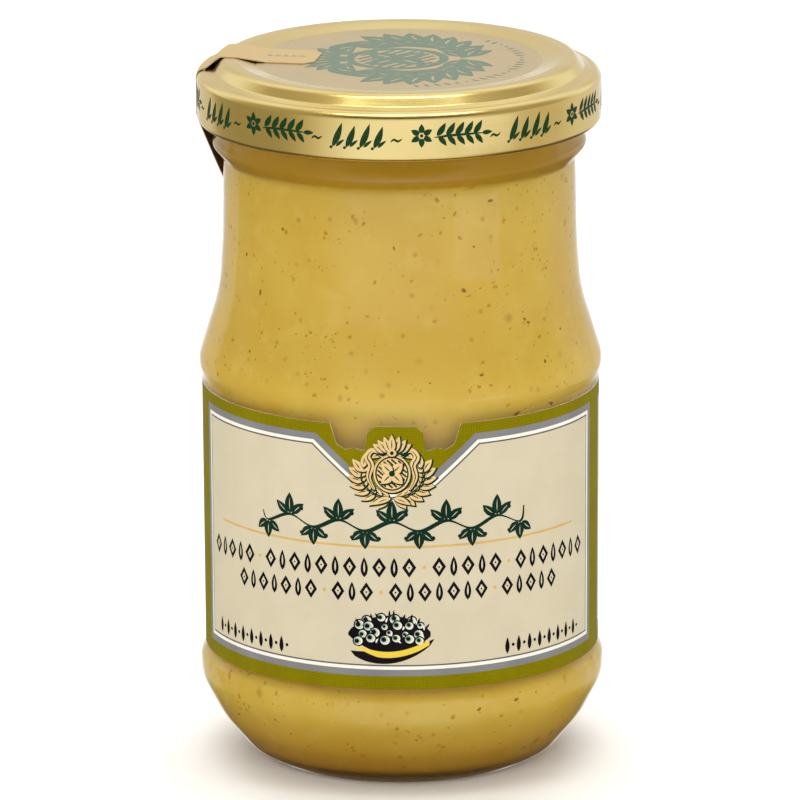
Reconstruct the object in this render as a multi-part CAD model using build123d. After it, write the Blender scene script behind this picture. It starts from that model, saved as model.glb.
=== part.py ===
from build123d import *
import math
import os

# A small glass jar of mustard with a twist-off metal lid, a paper seal strip
# over the lid and a die-cut label round the body.  Millimetres, +Z up, the
# origin at the middle of the foot on the surface the jar stands on; -Y is the
# front, the side the label faces.

# ---- glass jar ------------------------------------------------------------
FOOT_R = 20.55            # outer edge of the foot before it is rounded
FOOT_RING_IN = 17.2       # inside edge of the flat ring that bears on the table
PUSH_UP = 1.1             # height of the hollow under the base
BULGE_R = 30.70           # the lower bulge, the widest place of the jar
BULGE_LOW, BULGE_TOP = 12.3, 15.4
PANEL_LOW, PANEL_TOP = 17.0, 59.3      # the label panel
PANEL_R_LOW, PANEL_R_TOP = 29.86, 30.03
RING_R = 30.52            # soft ring above the label panel
RING_LOW, RING_TOP = 60.9, 62.3
FLARE_R, FLARE_Z = 27.38, 72.4         # shoulder flares in to the neck
NECK_R_LOW, NECK_Z_LOW = 26.80, 80.9
NECK_R, NECK_Z = 26.62, 93.0
BEAD_R, BEAD_Z = 28.38, 95.15          # bead of glass under the lid
BEAD_TOP = 98.15                       # above it the bead has run in to the finish
FINISH_R = 27.35          # upright wall that the lid screws over
LIP_Z = 107.83            # sealing lip, touches the inside of the lid
LIP_IN, LIP_OUT = 25.15, 26.15
WALL = 2.6                # thickness of the jar's wall
FLOOR_Z = 3.1             # inside of the base
FILL_Z = 101.5            # level of the mustard, behind the lid's skirt

# ---- lid ------------------------------------------------------------------
LID_R = 30.50
LID_LOW = 98.55
LID_CREST = 108.10        # top of the raised ring
LID_PANEL = 107.50        # top of the flat panel inside the ring
LID_PANEL_R = 21.7
CREST_IN, CREST_OUT = 24.7, 26.7
GROOVE_R, GROOVE_Z = 27.9, 106.40
SHOULDER_Z = 106.10
TIN = 0.25                # tinplate with its lacquer and lining
HEM_IN, HEM_TOP = 29.15, 99.95

# ---- label ----------------------------------------------------------------
PAPER = 0.14
LABEL_LOW, LABEL_TOP = 17.35, 58.35
LABEL_TURN = -1.65        # degrees, the label's middle from the jar's front
SEAM_HALF = 3.2           # half the gap between the label's ends, at the back
NOTCH = [                 # outline of the right-hand notch beside the crest tab
    (3.0, 58.20), (4.15, 57.10), (4.45, 54.60), (5.1, 54.45),
    (6.3, 54.85), (7.5, 54.45), (8.9, 55.2), (10.2, 59.4), (3.0, 59.4),
]

# ---- seal strip -----------------------------------------------------------
STRIP_T = 0.14
STRIP_GAP = 0.015
STRIP_TURN = 10.4         # degrees behind the jar's left side
STRIP_FRONT, STRIP_BACK = 5.5, -3.7    # its long edges, across its middle line
STRIP_END = 12.2          # distance of its free end from the lid's middle
STRIP_LIFT = 20.0         # where it leaves the panel to climb the raised ring
STRIP_MEETS_NECK = 88.3
STRIP_LOW = 74.0
STRIP_CLIP = 1.5          # clipped corners
STRIP_LEAN = 3.9          # how far it slants to the back below the lid
LEAN_TOP, LEAN_LOW = 98.0, 89.0


def revolved(points, radii):
    """A ring or a round body from its half section in the XZ plane."""
    with BuildPart() as body:
        with BuildSketch(Plane.XZ):
            with BuildLine():
                FilletPolyline(*points, radius=radii, close=True)
            make_face()
        revolve(axis=Axis.Z)
    return body.part


def mitred(points, t):
    """The points of a path moved sideways by t, to the left of its run."""
    out = []
    for i, p in enumerate(points):
        normals = []
        for a, b in ((i - 1, i), (i, i + 1)):
            if a < 0 or b >= len(points):
                continue
            dx, dz = points[b][0] - points[a][0], points[b][1] - points[a][1]
            n = math.hypot(dx, dz)
            normals.append((-dz / n, dx / n))
        mx = sum(n[0] for n in normals)
        mz = sum(n[1] for n in normals)
        m = math.hypot(mx, mz)
        mx, mz = mx / m, mz / m
        k = t / (mx * normals[0][0] + mz * normals[0][1])
        out.append((p[0] + mx * k, p[1] + mz * k))
    return out


# ---- outer skin of the glass, from the foot up to the lip -------------------
outer = [
    (FOOT_R, 0.0, 1.6),
    (23.68, 1.61, 5.0),
    (27.81, 6.73, 12.0),
    (BULGE_R, BULGE_LOW, 6.0),
    (BULGE_R, BULGE_TOP, 2.2),
    (PANEL_R_LOW, PANEL_LOW, 0.8),
    (PANEL_R_TOP, PANEL_TOP, 0.8),
    (RING_R, RING_LOW, 1.5),
    (RING_R, RING_TOP, 3.0),
    (FLARE_R, FLARE_Z, 26.0),
    (NECK_R_LOW, NECK_Z_LOW, 60.0),
    (NECK_R, NECK_Z, 0.6),
    (BEAD_R, BEAD_Z, 1.0),
    (FINISH_R, BEAD_TOP, 0.9),
    (FINISH_R, 106.4, 0.6),
    (LIP_OUT, LIP_Z, 0.5),
]
# ---- inner skin, softer than the outer one, from the lip down to the floor --
inner = [
    (LIP_IN, LIP_Z, 0.5),
    (24.25, 106.7, 0.6),
    (24.25, 93.0, 20.0),
    (NECK_R_LOW - WALL, NECK_Z_LOW, 60.0),
    (FLARE_R - WALL + 0.05, FLARE_Z - 0.4, 24.0),
    (PANEL_R_TOP - WALL + 0.25, RING_LOW - 0.4, 7.0),
    (PANEL_R_TOP - WALL, 55.0, 20.0),
    (PANEL_R_LOW - WALL, 17.6, 12.0),
    (BULGE_R - WALL, BULGE_TOP - 0.6, 3.0),
    (BULGE_R - WALL, BULGE_LOW + 0.4, 5.0),
    (24.9, 6.3, 7.0),
    (22.2, FLOOR_Z, 3.4),
    (12.0, FLOOR_Z + 0.1, 20.0),
]
under = [
    (0.0, PUSH_UP, 0.0),
    (15.2, PUSH_UP, 1.5),
    (FOOT_RING_IN, 0.0, 0.4),
]
half = under + outer + inner + [(0.0, FLOOR_Z + 0.8, 0.0)]
glass_jar = revolved([(r, z) for r, z, _ in half], [f for _, _, f in half])

# ---- mustard: the inside of the jar up to its level -------------------------
core_half = [(0.0, FLOOR_Z + 0.8, 0.0)] + inner[::-1][:-2] + [
    (24.25, FILL_Z + 3.0, 0.0), (0.0, FILL_Z + 3.0, 0.0)]
core = revolved([(r, z) for r, z, _ in core_half], [f for _, _, f in core_half])
below = Pos(0, 0, FILL_Z - 100) * Box(80, 80, 200)
mustard = core & below

# ---- lid: one shell of tinplate ---------------------------------------------
skin = [
    (0.0, LID_PANEL), (LID_PANEL_R, LID_PANEL), (CREST_IN, LID_CREST),
    (CREST_OUT, LID_CREST), (GROOVE_R, GROOVE_Z), (29.0, SHOULDER_Z),
    (LID_R, SHOULDER_Z),
]
skin_radii = [0.0, 1.6, 2.0, 1.35, 0.55, 2.0, 1.25]
lining = mitred(skin + [(LID_R, LID_LOW)], -TIN)
convex = [0, -1, 1, 1, -1, 0, 1]
lining_radii = [
    max(0.0, r - s * TIN) if r else 0.0 for r, s in zip(skin_radii, convex)]
lid_points = skin + [
    (LID_R, LID_LOW), (HEM_IN, LID_LOW), (HEM_IN, HEM_TOP),
    (LID_R - TIN, HEM_TOP)] + lining[:-1][::-1]
lid_radii = skin_radii + [0.85, 0.45, 0.45, 0.3] + lining_radii[::-1]
lid = revolved(lid_points, lid_radii)

# ---- label: a paper sleeve on the panel, its top edge cut round the crest ----
slope = (PANEL_R_TOP - PANEL_R_LOW) / (PANEL_TOP - PANEL_LOW)


def panel_r(z):
    return PANEL_R_LOW + slope * (z - PANEL_LOW)


label = revolved(
    [(panel_r(LABEL_LOW), LABEL_LOW), (panel_r(LABEL_LOW) + PAPER, LABEL_LOW),
     (panel_r(LABEL_TOP) + PAPER, LABEL_TOP), (panel_r(LABEL_TOP), LABEL_TOP)],
    [0.0] * 4)
seam = Pos(0, 30, 40) * Box(2 * SEAM_HALF, 20, 80)
label = label - seam
for side in (1, -1):
    with BuildPart() as notch:
        with BuildSketch(Plane.XZ):
            with BuildLine():
                FilletPolyline(
                    *[(side * x, z) for x, z in NOTCH],
                    radius=[0.8, 0.5, 0.15, 0.2, 0.4, 0.3, 0.2, 0.0, 0.0],
                    close=True)
            make_face()
        extrude(amount=60)
    label = label - notch.part
label = Rot(0, 0, LABEL_TURN) * label

# ---- seal strip: a paper band from the lid's panel down to the neck ----------
g = STRIP_GAP
path = [
    (8.0, LID_PANEL + g, 0.0),
    (STRIP_LIFT, LID_PANEL + g, 3.0),
    (CREST_IN - 0.1, LID_CREST + g, 1.2),
    (CREST_OUT + 0.35, LID_CREST + g, 1.3),
    (GROOVE_R + 1.25, SHOULDER_Z + 0.16, 1.2),
    (LID_R + g, SHOULDER_Z + 0.12, 1.35),
    (LID_R + g, LID_LOW + 0.7, 1.5),
    (NECK_R + 0.10, STRIP_MEETS_NECK, 3.0),
    (NECK_R_LOW + 0.05, NECK_Z_LOW + 0.4, 40.0),
    (27.37, STRIP_LOW, 0.0),
]
line = [(r, z) for r, z, _ in path]
outside = mitred(line, STRIP_T)
turn = [0, 1, -1, -1, 1, -1, -1, 1, 1, 0]      # +1 where the fold is hollow
in_radii = [f for _, _, f in path]
out_radii = [
    max(0.0, f - s * STRIP_T) if f else 0.0 for f, s in zip(in_radii, turn)]
band = revolved(line + outside[::-1], in_radii + out_radii[::-1])
c = STRIP_CLIP
front_y, back_y, lean = -STRIP_FRONT, -STRIP_BACK, STRIP_LEAN
with BuildPart() as plan:
    with BuildSketch():
        with BuildLine():
            Polyline(
                (-STRIP_END, front_y + c), (-STRIP_END - c, front_y),
                (-40, front_y), (-40, back_y + lean), (-24, back_y + lean),
                (-24, back_y), (-STRIP_END - c, back_y), (-STRIP_END, back_y - c),
                close=True)
        make_face()
    extrude(amount=140)
with BuildPart() as side_view:
    with BuildSketch(Plane.YZ):
        with BuildLine():
            Polyline(
                (front_y, 120), (back_y, 120), (back_y, LEAN_TOP),
                (back_y + lean, LEAN_LOW), (back_y + lean, STRIP_LOW + c),
                (back_y + lean - c, STRIP_LOW), (front_y + lean + c, STRIP_LOW),
                (front_y + lean, STRIP_LOW + c), (front_y + lean, LEAN_LOW),
                (front_y, LEAN_TOP),
                close=True)
        make_face()
    extrude(amount=-60)
seal_strip = band & plan.part & side_view.part
seal_strip = Rot(0, 0, -STRIP_TURN) * seal_strip

parts = {
    "glass_jar": glass_jar,
    "mustard": mustard,
    "lid": lid,
    "label": label,
    "seal_strip": seal_strip,
}
os.makedirs("parts", exist_ok=True)
for name, part in parts.items():
    export_step(part, f"parts/{name}.step")
    box = part.bounding_box()
    print(name, round(part.volume, 1), box.min, box.max)
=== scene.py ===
import math
import random

import bpy
import numpy as np
from mathutils import Matrix, Vector
from mathutils.geometry import delaunay_2d_cdt


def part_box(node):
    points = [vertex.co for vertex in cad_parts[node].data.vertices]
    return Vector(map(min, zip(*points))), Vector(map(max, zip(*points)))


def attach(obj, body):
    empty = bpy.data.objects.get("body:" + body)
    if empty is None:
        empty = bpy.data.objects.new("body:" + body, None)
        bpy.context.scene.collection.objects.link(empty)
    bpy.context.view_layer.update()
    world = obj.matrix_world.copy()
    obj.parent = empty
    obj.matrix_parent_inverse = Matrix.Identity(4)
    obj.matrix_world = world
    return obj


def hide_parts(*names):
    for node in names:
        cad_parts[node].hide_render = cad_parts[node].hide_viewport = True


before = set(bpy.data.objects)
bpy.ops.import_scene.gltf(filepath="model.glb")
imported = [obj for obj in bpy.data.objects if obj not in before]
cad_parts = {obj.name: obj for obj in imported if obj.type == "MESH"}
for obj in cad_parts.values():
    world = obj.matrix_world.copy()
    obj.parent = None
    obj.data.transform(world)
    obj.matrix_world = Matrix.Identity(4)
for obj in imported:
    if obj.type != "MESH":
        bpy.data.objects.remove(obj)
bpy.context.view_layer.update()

MM = 0.001
TAU = 2 * math.pi

# The jar's own sizes in millimetres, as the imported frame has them.
LID_LO, LID_HI = (v / MM for v in (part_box("lid")[0].z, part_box("lid")[1].z))
LID_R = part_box("lid")[1].x / MM
LABEL_LO, LABEL_HI = (v / MM for v in (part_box("label")[0].z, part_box("label")[1].z))
GLASS_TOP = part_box("glass_jar")[1].z / MM
BULGE_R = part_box("glass_jar")[1].x / MM - 0.02
FILL_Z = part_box("mustard")[1].z / MM
STRIP_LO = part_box("seal_strip")[0].z / MM

WALL = 2.6
PAPER = 0.14
LABEL_TURN = -1.65
LABEL_R = 30.08                       # where arc lengths on the label are taken
PANEL_R_LOW, PANEL_R_TOP, PANEL_LOW, PANEL_TOP = 29.86, 30.03, 17.0, 59.3
LID_PANEL = LID_HI - 0.60


# ---------------------------------------------------------------- shapes
def filleted(points, step=1.6, turn=7.0):
    """Points (r, z, fillet) as a smooth path: runs divided by step mm, arcs by turn degrees."""
    out = [np.array(points[0][:2], float)]

    def run_to(p):
        a = out[-1]
        d = np.linalg.norm(p - a)
        if d < 1e-6:
            return
        n = max(1, int(math.ceil(d / step)))
        for k in range(1, n + 1):
            out.append(a + (p - a) * k / n)

    for i in range(1, len(points) - 1):
        p0, p, p1 = (np.array(points[j][:2], float) for j in (i - 1, i, i + 1))
        r = points[i][2]
        a = (p0 - p) / np.linalg.norm(p0 - p)
        b = (p1 - p) / np.linalg.norm(p1 - p)
        ang = math.acos(max(-1.0, min(1.0, float(a @ b))))
        if r <= 0 or ang > math.radians(179.3):
            run_to(p)
            continue
        d = r / math.tan(ang / 2)
        t0, t1 = p + a * d, p + b * d
        bis = (a + b) / np.linalg.norm(a + b)
        c = p + bis * (r / math.sin(ang / 2))
        a0 = math.atan2(t0[1] - c[1], t0[0] - c[0])
        a1 = math.atan2(t1[1] - c[1], t1[0] - c[0])
        da = (a1 - a0 + math.pi) % TAU - math.pi
        run_to(t0)
        n = max(2, int(math.ceil(max(abs(math.degrees(da)) / turn, abs(da) * r / step))))
        for k in range(1, n + 1):
            t = a0 + da * k / n
            out.append(c + r * np.array([math.cos(t), math.sin(t)]))
    run_to(np.array(points[-1][:2], float))
    return np.array(out)


def pushed(path, t):
    """A path moved sideways by t, to the right of its run."""
    d = np.gradient(path, axis=0)
    d /= np.maximum(np.linalg.norm(d, axis=1, keepdims=True), 1e-9)
    return path + np.stack([d[:, 1], -d[:, 0]], 1) * t


def new_object(name, verts, faces, uvs=None, mats=None, index=None, smooth=True, sharp=40):
    me = bpy.data.meshes.new(name)
    me.from_pydata([tuple(v) for v in verts], [], faces)
    for m in mats or []:
        me.materials.append(m)
    if index is not None:
        me.polygons.foreach_set("material_index", index)
    if uvs is not None:
        layer = me.uv_layers.new(name="wrap")
        layer.data.foreach_set("uv", np.asarray(uvs, np.float32).ravel())
    me.polygons.foreach_set("use_smooth", [smooth] * len(me.polygons))
    me.update()
    if smooth and sharp:
        me.set_sharp_from_angle(angle=math.radians(sharp))
    ob = bpy.data.objects.new(name, me)
    bpy.context.scene.collection.objects.link(ob)
    return ob


def lathe(name, path, mat, segs=256, sharp=40, wobble=None):
    """A closed body of revolution from a path in mm that starts and ends on the axis or closes on itself."""
    path = np.asarray(path, float)
    on_axis = path[0][0] < 1e-6
    ring = path[1:-1] if on_axis else path
    n = len(ring)
    ang = math.pi / 2 + np.arange(segs) * TAU / segs
    ca, sa = np.cos(ang), np.sin(ang)
    R = np.repeat(ring[:, :1], segs, 1)
    Z = np.repeat(ring[:, 1:2], segs, 1)
    if wobble is not None:
        R, Z = wobble(R, Z, ang[None, :])
    V = np.stack([R * ca, R * sa, Z], 2).reshape(-1, 3)
    length = np.concatenate([[0], np.cumsum(np.linalg.norm(np.diff(ring, axis=0), axis=1))]) / 100
    faces, uvs = [], []
    rows = n - 1 if on_axis else n
    for i in range(rows):
        i2 = (i + 1) % n
        v0, v1 = length[i], length[i + 1] if i + 1 < n else length[i] + 0.01
        for j in range(segs):
            j2 = (j + 1) % segs
            faces.append((i * segs + j, i * segs + j2, i2 * segs + j2, i2 * segs + j))
            u0, u1 = j / segs, (j + 1) / segs
            uvs += [(u0, v0), (u1, v0), (u1, v1), (u0, v1)]
    if on_axis:
        low, high = len(V), len(V) + 1
        V = np.vstack([V, [[0, 0, path[0][1]], [0, 0, path[-1][1]]]])
        for j in range(segs):
            j2 = (j + 1) % segs
            u0, u1 = j / segs, (j + 1) / segs
            faces.append((low, j2, j))
            uvs += [((u0 + u1) / 2, 0), (u1, 0), (u0, 0)]
            k = (n - 1) * segs
            faces.append((k + j, k + j2, high))
            uvs += [(u0, length[-1]), (u1, length[-1]), ((u0 + u1) / 2, length[-1])]
    return new_object(name, V * MM, faces, uvs, [mat], sharp=sharp)


# ---------------------------------------------------------------- materials
class Look:
    """A Principled material with short calls for procedural nodes.  Sizes are in millimetres."""

    def __init__(self, name, **sockets):
        self.mat = bpy.data.materials.new(name)
        self.mat.use_nodes = True
        self.nt = self.mat.node_tree
        self.nt.nodes.clear()
        self.out = self.nt.nodes.new("ShaderNodeOutputMaterial")
        self.p = self.nt.nodes.new("ShaderNodeBsdfPrincipled")
        self.nt.links.new(self.p.outputs[0], self.out.inputs["Surface"])
        for k, v in sockets.items():
            self.p.inputs[k.replace("_", " ")].default_value = v

    def node(self, kind, **props):
        n = self.nt.nodes.new(kind)
        for k, v in props.items():
            setattr(n, k, v)
        return n

    def put(self, socket, value):
        if hasattr(value, "is_output"):
            self.nt.links.new(value, socket)
        else:
            socket.default_value = value

    def where(self, stretch=(1, 1, 1), uv=False, turn=(0, 0, 0)):
        """Object coordinates in mm, or the wrap UV, stretched."""
        t = self.node("ShaderNodeTexCoord") if not uv else self.node("ShaderNodeUVMap", uv_map="wrap")
        m = self.node("ShaderNodeMapping")
        self.put(m.inputs["Vector"], t.outputs["UV"] if uv else t.outputs["Object"])
        s = 1.0 if uv else 1000.0
        m.inputs["Scale"].default_value = tuple(s * k for k in stretch)
        m.inputs["Rotation"].default_value = turn
        return m.outputs[0]

    def noise(self, size, detail=2.0, rough=0.5, where=None, distort=0.0):
        n = self.node("ShaderNodeTexNoise")
        self.put(n.inputs["Vector"], where if where is not None else self.where())
        n.inputs["Scale"].default_value = 1.0 / size
        n.inputs["Detail"].default_value = detail
        n.inputs["Roughness"].default_value = rough
        n.inputs["Distortion"].default_value = distort
        return n.outputs["Fac"]

    def cells(self, size, where=None, feature="F1", out="Distance", rnd=1.0):
        n = self.node("ShaderNodeTexVoronoi", feature=feature)
        self.put(n.inputs["Vector"], where if where is not None else self.where())
        n.inputs["Scale"].default_value = 1.0 / size
        n.inputs["Randomness"].default_value = rnd
        return n.outputs[out]

    def span(self, value, lo, hi, a=0.0, b=1.0, smooth=True):
        n = self.node("ShaderNodeMapRange", interpolation_type="SMOOTHSTEP" if smooth else "LINEAR")
        for k, v in (("Value", value), ("From Min", lo), ("From Max", hi), ("To Min", a), ("To Max", b)):
            self.put(n.inputs[k], v)
        return n.outputs[0]

    def math(self, op, a, b=0.0, clamp=False):
        n = self.node("ShaderNodeMath", operation=op, use_clamp=clamp)
        self.put(n.inputs[0], a)
        self.put(n.inputs[1], b)
        return n.outputs[0]

    def mix(self, fac, a, b, blend="MIX"):
        n = self.node("ShaderNodeMix", data_type="RGBA", blend_type=blend)
        self.put(n.inputs[0], fac)
        for s, v in ((n.inputs[6], a), (n.inputs[7], b)):
            self.put(s, v if hasattr(v, "is_output") else (*v[:3], 1.0))
        return n.outputs[2]

    def split(self, where):
        n = self.node("ShaderNodeSeparateXYZ")
        self.put(n.inputs[0], where)
        return n.outputs

    def bump(self, height, depth, strength=1.0, under=None):
        n = self.node("ShaderNodeBump")
        n.inputs["Distance"].default_value = depth * MM
        n.inputs["Strength"].default_value = strength
        self.put(n.inputs["Height"], height)
        if under is not None:
            self.put(n.inputs["Normal"], under)
        return n.outputs[0]

    def set(self, **kw):
        for k, v in kw.items():
            k = k.replace("_", " ")
            if k == "Base Color" and not hasattr(v, "is_output"):
                v = (*v[:3], 1.0)
            self.put(self.p.inputs[k], v)
        return self


def srgb(r, g, b):
    return tuple(((c / 255 + 0.055) / 1.055) ** 2.4 if c > 10 else c / 255 / 12.92 for c in (r, g, b))


def scaled(c, k):
    return tuple(v * k for v in c)


# clear glass, with the faint waves of a moulded wall
glass = Look("clear_glass", Roughness=0.0, IOR=1.48)
glass.p.inputs["Transmission Weight"].default_value = 1.0
g1 = glass.noise(14.0, 1.0, 0.4, glass.where((1, 1, 0.6)))
g2 = glass.noise(3.2, 1.0, 0.4)
# painted shade: the clear glass is tinted brown towards its foot, darkening the bottom of the jar
foot_painted_shade = glass.span(glass.split(glass.where())[2], 1.5, 13.0, 1.0, 0.0)
glass.set(Base_Color=glass.mix(foot_painted_shade, glass.mix(glass.noise(20.0, 1.0), (0.985, 0.995, 0.988), (0.995, 0.998, 0.995)),
                               (0.660, 0.500, 0.240)),
          Roughness=glass.span(glass.noise(9.0, 2.0), 0.3, 0.7, 0.0, 0.035),
          Normal=glass.bump(g2, 0.012, 0.5, glass.bump(g1, 0.10, 0.6)))

# mustard: smooth ochre paste with soft blotches, fine grain and specks that lie just under its face; painted shade
# darkens it under the lid, towards the bottom and along the label's edges
paste = Look("mustard_paste", IOR=1.4)
paste.p.inputs["Specular IOR Level"].default_value = 0.12
paste.p.inputs["Subsurface Weight"].default_value = 0.0
M_MAIN = (0.772, 0.549, 0.090)
M_LIGHT = (0.804, 0.587, 0.120)
M_DEEP = (0.738, 0.499, 0.066)
soft = paste.noise(11.0, 2.0, 0.45, paste.where((1, 1, 0.8)))
col = paste.mix(paste.span(soft, 0.35, 0.68), M_DEEP, M_MAIN)
col = paste.mix(paste.math("MULTIPLY", paste.span(paste.noise(4.0, 3.0, 0.5), 0.52, 0.72), 0.5), col, M_LIGHT)
grain = paste.noise(0.50, 3.0, 0.65)
col = paste.mix(paste.math("MULTIPLY", paste.span(grain, 0.60, 0.78), 0.30), col, scaled(M_DEEP, 0.80))
near = paste.noise(8.0, 1.0)
spot = paste.cells(2.5)
sunk = paste.math("MULTIPLY", paste.span(spot, 0.04, 0.24, 1.0, 0.0), paste.span(near, 0.44, 0.56))
col = paste.mix(paste.math("MULTIPLY", sunk, 0.52), col, (0.44, 0.190, 0.020))
haze = paste.cells(7.0, paste.where((1, 1, 1), turn=(0.4, 0.3, 0.9)))
col = paste.mix(paste.math("MULTIPLY", paste.span(haze, 0.02, 0.15, 1.0, 0.0), 0.50), col, (0.42, 0.180, 0.022))
pin = paste.cells(1.35, paste.where((1, 1, 1), turn=(0.9, 0.2, 0.5)))
some = paste.span(paste.noise(3.0, 1.0), 0.52, 0.60)
col = paste.mix(paste.math("MULTIPLY", paste.math("MULTIPLY", paste.span(pin, 0.03, 0.12, 1.0, 0.0), some), 0.62),
                col, (0.46, 0.235, 0.030))
height = paste.split(paste.where())[2]
# painted shade: darker, browner paste just under the lid
shade = paste.span(height, 93.4, 94.5)
col = paste.mix(paste.math("MULTIPLY", shade, 0.92), col, (0.425, 0.222, 0.003))
# painted shade: the paste darkens towards the bottom of the jar
low_shade = paste.span(height, 2.5, 13.5, 1.0, 0.0)
col = paste.mix(paste.math("MULTIPLY", low_shade, 0.20), col, (0.520, 0.280, 0.010))
# painted shadow: a darker brown band in the paste just below the label's lower edge
under_label_shadow = paste.math("MULTIPLY", paste.span(height, 14.4, 16.8), paste.span(height, 19.5, 21.5, 1.0, 0.0))
col = paste.mix(paste.math("MULTIPLY", under_label_shadow, 0.72), col, (0.560, 0.310, 0.020))
# painted shadow: darker paste in the notches just above the label's top edge
over_label_shadow = paste.math("MULTIPLY", paste.span(height, 55.0, 59.4, 1.0, 0.0), paste.span(height, 50.0, 52.0))
col = paste.mix(paste.math("MULTIPLY", over_label_shadow, 0.62), col, (0.560, 0.310, 0.030))
paste.set(Base_Color=col, Roughness=paste.span(grain, 0.3, 0.7, 0.42, 0.6),
          Normal=paste.bump(grain, 0.05, 0.35))


def speck_look(name, a, b, rough=0.6):
    s = Look(name)
    s.p.inputs["Specular IOR Level"].default_value = 0.2
    n = s.noise(0.22, 2.0)
    s.set(Base_Color=s.mix(s.span(n, 0.35, 0.65), a, b), Roughness=s.span(n, 0.3, 0.7, rough, rough + 0.2),
          Normal=s.bump(n, 0.05, 0.6))
    return s.mat


brown_bits = speck_look("pepper_brown", (0.560, 0.270, 0.006), (0.660, 0.370, 0.020))
dark_bits = speck_look("pepper_dark", (0.300, 0.120, 0.003), (0.430, 0.200, 0.010))

# gold-lacquered tinplate
gold = Look("gold_tinplate", Metallic=1.0)
gold.p.inputs["Coat Weight"].default_value = 0.35
gold.p.inputs["Coat Roughness"].default_value = 0.10
gold.p.inputs["Coat IOR"].default_value = 1.5
rolled = gold.noise(1.0, 3.0, 0.6, gold.where((14.0, 420.0, 1.0), uv=True))
tone = gold.noise(16.0, 2.0)
GOLD_A, GOLD_B = (0.830, 0.635, 0.215), (0.880, 0.690, 0.270)
gcol = gold.mix(gold.span(tone, 0.35, 0.65), GOLD_A, GOLD_B)
gcol = gold.mix(gold.math("MULTIPLY", gold.span(rolled, 0.35, 0.75), 0.12), gcol, (0.93, 0.76, 0.40))
peel = gold.noise(0.55, 2.0)
gold.set(Base_Color=gcol,
         Roughness=gold.span(rolled, 0.25, 0.75, 0.19, 0.27),
         Normal=gold.bump(peel, 0.006, 0.5, gold.bump(rolled, 0.003, 0.5)))

# the printed panel of the lid is a flatter, paler lacquer
pale = Look("lid_panel_lacquer", Metallic=1.0)
pale.p.inputs["Coat Weight"].default_value = 0.8
pale.p.inputs["Coat Roughness"].default_value = 0.16
pale.p.inputs["Coat IOR"].default_value = 1.5
ptone = pale.noise(12.0, 2.0)
pgrain = pale.noise(0.30, 2.0)
pale.set(Base_Color=pale.mix(pale.span(ptone, 0.35, 0.65), (0.690, 0.515, 0.215), (0.730, 0.550, 0.240)),
         Roughness=pale.span(pgrain, 0.3, 0.7, 0.34, 0.44), Normal=pale.bump(pgrain, 0.005, 0.5))


def ink(name, a, b, rough=0.4, coat=0.0, size=0.5, metal=0.0):
    s = Look(name, Metallic=metal)
    s.p.inputs["Specular IOR Level"].default_value = 0.15
    if coat:
        s.p.inputs["Coat Weight"].default_value = coat
        s.p.inputs["Coat Roughness"].default_value = 0.12
        s.p.inputs["Coat IOR"].default_value = 1.5
    n = s.noise(size, 3.0, 0.6)
    s.set(Base_Color=s.mix(s.span(n, 0.3, 0.7), a, b), Roughness=s.span(n, 0.3, 0.7, rough, rough + 0.15),
          Normal=s.bump(n, 0.004, 0.5))
    return s.mat


lid_ink = ink("lid_ink", (0.003, 0.025, 0.004), (0.006, 0.038, 0.009), 0.45, 0.05)
panel_ink = ink("lid_panel_ink", (0.070, 0.122, 0.082), (0.098, 0.158, 0.108), 0.45, 0.52)


def paper_look(name, a, b, c=None, tooth=0.18, rough=0.46, mottle=6.0, fine=None, gloss=0.14):
    """Printed label stock: soft mottling, a fine tooth, and a satin varnish over it."""
    s = Look(name)
    s.p.inputs["Specular IOR Level"].default_value = gloss
    s.p.inputs["Coat Weight"].default_value = 0.2 * gloss
    s.p.inputs["Coat Roughness"].default_value = 0.28
    big = s.noise(mottle, 3.0, 0.55)
    tiny = s.noise(tooth, 2.0, 0.6)
    col = s.mix(s.span(big, 0.3, 0.7), a, b)
    if c is not None:
        f = fine(s) if fine else s.span(tiny, 0.45, 0.62)
        col = s.mix(f, col, c)
    else:
        col = s.mix(s.math("MULTIPLY", s.span(tiny, 0.35, 0.7), 0.10), col, scaled(a, 0.82))
    s.set(Base_Color=col, Roughness=s.span(tiny, 0.3, 0.7, rough, rough + 0.14), Normal=s.bump(tiny, 0.012, 0.5))
    return s.mat


def engraved(s):
    """The fine two-tone tooth of the green margin: crossed slanting lines broken by grain."""
    w = s.split(s.where(uv=True))
    u, v = w[0], w[1]
    line = s.math("SINE", s.math("MULTIPLY", s.math("ADD", u, v), TAU / 0.50))
    back = s.math("SINE", s.math("MULTIPLY", s.math("SUBTRACT", v, u), TAU / 0.50))
    both = s.math("MULTIPLY", line, back)
    grit = s.noise(0.20, 2.0, 0.6)
    return s.math("MULTIPLY", s.span(s.math("ADD", both, s.math("MULTIPLY", grit, 1.6)), 0.5, 1.5), 0.66)


CREAM = (0.510, 0.455, 0.330)
label_cream = paper_look("label_cream", CREAM, (0.535, 0.480, 0.352))
label_green = paper_look("label_green", (0.128, 0.104, 0.000), (0.150, 0.124, 0.000), (0.270, 0.236, 0.003), fine=engraved, gloss=0.02)
label_grey = paper_look("label_grey", (0.165, 0.165, 0.180), (0.195, 0.195, 0.208))
label_white = paper_look("label_white", (0.710, 0.690, 0.620), (0.750, 0.730, 0.670))
label_line = paper_look("label_line", (0.085, 0.080, 0.066), (0.115, 0.108, 0.090))
label_gold = paper_look("label_gold", (0.500, 0.325, 0.100), (0.560, 0.380, 0.130))
label_tan = paper_look("label_tan", (0.590, 0.420, 0.190), (0.640, 0.465, 0.225))
label_dark = paper_look("label_dark_green", (0.002, 0.018, 0.010), (0.005, 0.027, 0.015), gloss=0.05)
label_black = paper_look("label_black", (0.003, 0.002, 0.004), (0.008, 0.006, 0.008), gloss=0.04)
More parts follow.
